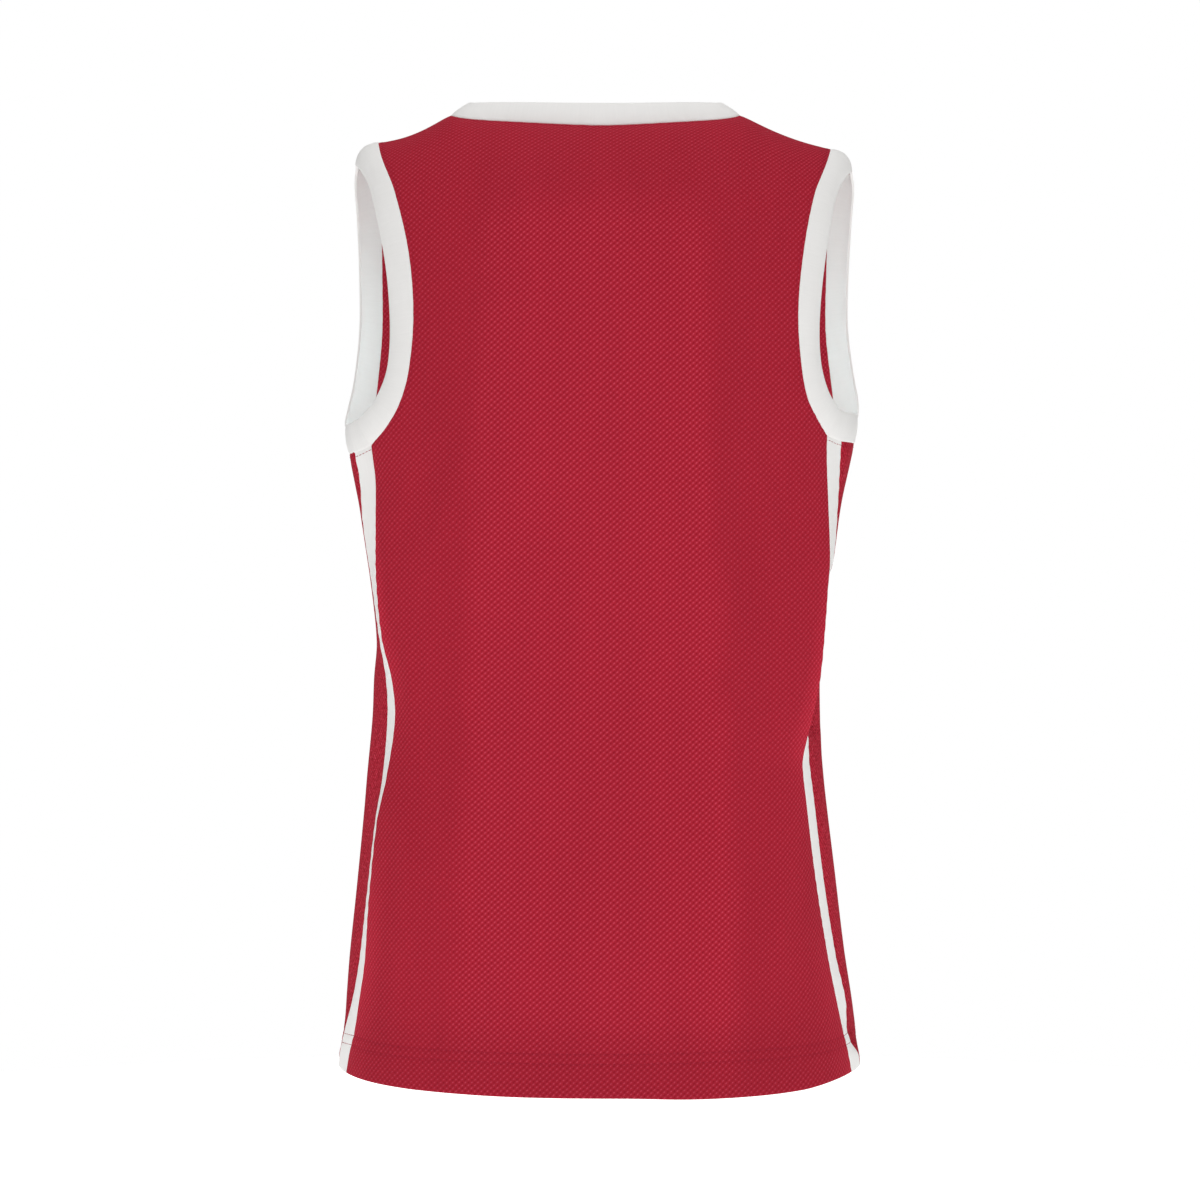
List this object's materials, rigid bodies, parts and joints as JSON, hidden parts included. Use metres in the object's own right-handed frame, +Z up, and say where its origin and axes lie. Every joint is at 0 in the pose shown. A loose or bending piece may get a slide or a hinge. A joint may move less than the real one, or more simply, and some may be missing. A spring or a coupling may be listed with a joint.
{
  "type": "sleeveless basketball jersey",
  "caption": "Sleeveless knit sports jersey in its worn hollow form: red mesh body and side panels, white neckband, armhole bands and side stripes, open at neck, arms and hem",
  "frame": {"origin": "midway between the wearer's two shoulders, level with the garment's shoulder seams, where the wearer carries it", "axes": "+Z up towards the neck opening, +Y out of the wearer's back, +X towards the wearer's left arm"},
  "size_m": [0.4014, 0.2544, 0.7382],
  "materials": {
    "red_mesh": "matt bird-eye mesh knit, crimson red",
    "white_knit": "matt plain fine knit, white"
  },
  "bodies": {
    "root": {"back_panel": "red_mesh", "front_panel": "red_mesh", "side_panel_left": "red_mesh", "side_panel_right": "red_mesh", "back_stripe_left": "white_knit", "back_stripe_right": "white_knit", "front_stripe_left": "white_knit", "front_stripe_right": "white_knit", "armband_left": "white_knit", "armband_right": "white_knit", "neckband": "white_knit"}
  },
  "joints": []
}
